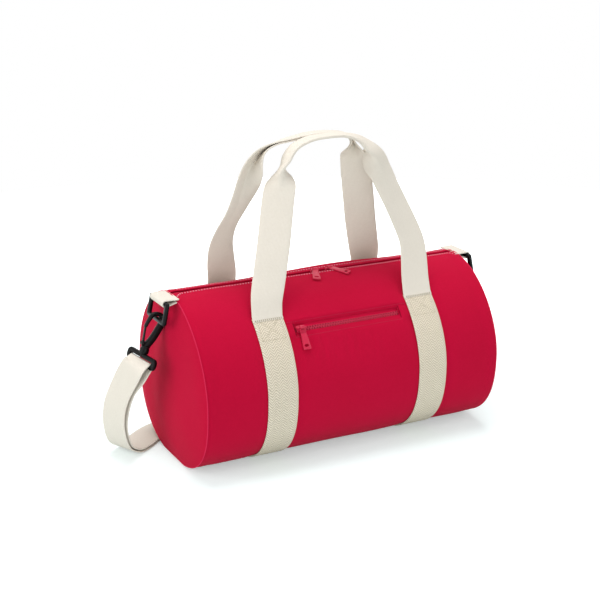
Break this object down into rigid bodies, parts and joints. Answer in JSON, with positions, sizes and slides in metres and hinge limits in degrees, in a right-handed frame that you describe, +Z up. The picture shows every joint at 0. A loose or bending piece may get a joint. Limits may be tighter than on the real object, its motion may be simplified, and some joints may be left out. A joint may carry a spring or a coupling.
{
  "type": "barrel bag",
  "caption": "Canvas barrel bag with a top zip, a zipped front pocket, webbing bands that run on into two carrying handles, and a clip-on shoulder strap.",
  "frame": {"origin": "middle of the barrel's underside, on the floor that the bag stands on", "axes": "+X along the barrel, which is its longest extent; -Y towards the side with the zipped pocket; +Z up, against the base mount's normal"},
  "size_m": [0.534, 0.2279, 0.3708],
  "materials": {
    "red_canvas": "closely woven canvas, crimson red, matt",
    "seam_binding": "folded cotton tape, dark red, matt",
    "natural_webbing": "cotton webbing, natural off-white, fine rib, matt",
    "zip_tape": "woven zip tape, red, matt",
    "zip_parts": "moulded zip teeth, sliders and pullers, red, slightly glossy",
    "pocket_lining": "thin lining cloth, red, matt",
    "black_plastic": "moulded, black, glossy"
  },
  "bodies": {
    "bag": {"barrel_panel": "red_canvas", "end_panel_left": "red_canvas", "end_panel_right": "red_canvas", "seam_binding_left": "seam_binding", "seam_binding_right": "seam_binding", "band_left": "natural_webbing", "band_right": "natural_webbing", "main_zip_tape_front": "zip_tape", "main_zip_tape_back": "zip_tape", "main_zip_teeth_front": "zip_parts", "main_zip_teeth_back": "zip_parts", "main_zip_stops": "zip_parts", "pocket_zip_tapes": "zip_tape", "pocket_zip_teeth": "zip_parts", "pocket_zip_stops": "zip_parts", "pocket_pouch": "pocket_lining", "tab_left": "natural_webbing", "tab_right": "natural_webbing"},
    "front_handle_body": {"front_handle": "natural_webbing"},
    "back_handle_body": {"back_handle": "natural_webbing"},
    "main_slider_left_body": {"main_slider_left": "zip_parts"},
    "main_slider_right_body": {"main_slider_right": "zip_parts"},
    "main_puller_left_body": {"main_puller_left": "zip_parts"},
    "main_puller_right_body": {"main_puller_right": "zip_parts"},
    "pocket_slider_body": {"pocket_slider": "zip_parts"},
    "pocket_puller_body": {"pocket_puller": "zip_parts"},
    "strap_body": {"shoulder_strap": "natural_webbing", "ring_left": "black_plastic", "ring_right": "black_plastic", "swivel_eye_left": "black_plastic", "swivel_eye_right": "black_plastic"},
    "hook_left_body": {"hook_left": "black_plastic"},
    "hook_right_body": {"hook_right": "black_plastic"},
    "gate_left_body": {"gate_left": "black_plastic"},
    "gate_right_body": {"gate_right": "black_plastic"},
    "adjuster_body": {"strap_adjuster": "black_plastic", "adjuster_loop": "natural_webbing"}
  },
  "joints": [
    {"name": "front_handle_swing", "type": "hinge", "parent": "bag", "child": "front_handle_body", "pos_m": [0, -0.06402, 0.17976], "axis": [1, 0, 0], "range_deg": [0, 150]},
    {"name": "back_handle_swing", "type": "hinge", "parent": "bag", "child": "back_handle_body", "pos_m": [0, 0.06402, 0.17976], "axis": [1, 0, 0], "range_deg": [-150, 0]},
    {"name": "main_slider_left_travel", "type": "slide", "parent": "bag", "child": "main_slider_left_body", "axis": [1, 0, 0], "range_m": [-0.165, 0]},
    {"name": "main_slider_right_travel", "type": "slide", "parent": "bag", "child": "main_slider_right_body", "axis": [1, 0, 0], "range_m": [0, 0.155]},
    {"name": "pocket_slider_travel", "type": "slide", "parent": "bag", "child": "pocket_slider_body", "axis": [1, 0, 0], "range_m": [0, 0.124]},
    {"name": "main_puller_left_swing", "type": "hinge", "parent": "main_slider_left_body", "child": "main_puller_left_body", "pos_m": [-0.005, 0, 0.2058], "axis": [-1, 0, 0], "range_deg": [0, 150]},
    {"name": "main_puller_right_swing", "type": "hinge", "parent": "main_slider_right_body", "child": "main_puller_right_body", "pos_m": [0.015, 0, 0.2058], "axis": [-1, 0, 0], "range_deg": [0, 150]},
    {"name": "pocket_puller_swing", "type": "hinge", "parent": "pocket_slider_body", "child": "pocket_puller_body", "pos_m": [-0.0632, -0.07809, 0.16539], "axis": [-1, 0, 0], "range_deg": [0, 150]},
    {"name": "shoulder_strap_swing", "type": "hinge", "parent": "bag", "child": "strap_body", "pos_m": [0, 0, 0.199], "axis": [1, 0, 0], "range_deg": [0, 140], "deforming": ["tab_left", "tab_right"]},
    {"name": "hook_left_swivel", "type": "hinge", "parent": "strap_body", "child": "hook_left_body", "pos_m": [-0.21394, -0.006, 0.1782], "axis": [-0.3584, 0, -0.9336], "range_deg": [-18, 18]},
    {"name": "hook_right_swivel", "type": "hinge", "parent": "strap_body", "child": "hook_right_body", "pos_m": [0.21394, 0.006, 0.1782], "axis": [0.3584, 0, -0.9336], "range_deg": [-18, 18]},
    {"name": "gate_left_press", "type": "hinge", "parent": "hook_left_body", "child": "gate_left_body", "pos_m": [-0.22962, -0.006, 0.15074], "axis": [0, 1, 0], "range_deg": [0, 18], "stiffness_Nm_per_rad": 0.02, "springref_deg": -20.05},
    {"name": "gate_right_press", "type": "hinge", "parent": "hook_right_body", "child": "gate_right_body", "pos_m": [0.22962, 0.006, 0.15074], "axis": [0, -1, 0], "range_deg": [0, 18], "stiffness_Nm_per_rad": 0.02, "springref_deg": -20.05},
    {"name": "adjuster_travel", "type": "slide", "parent": "strap_body", "child": "adjuster_body", "axis": [1, 0, 0], "range_m": [0, 0.08]}
  ]
}
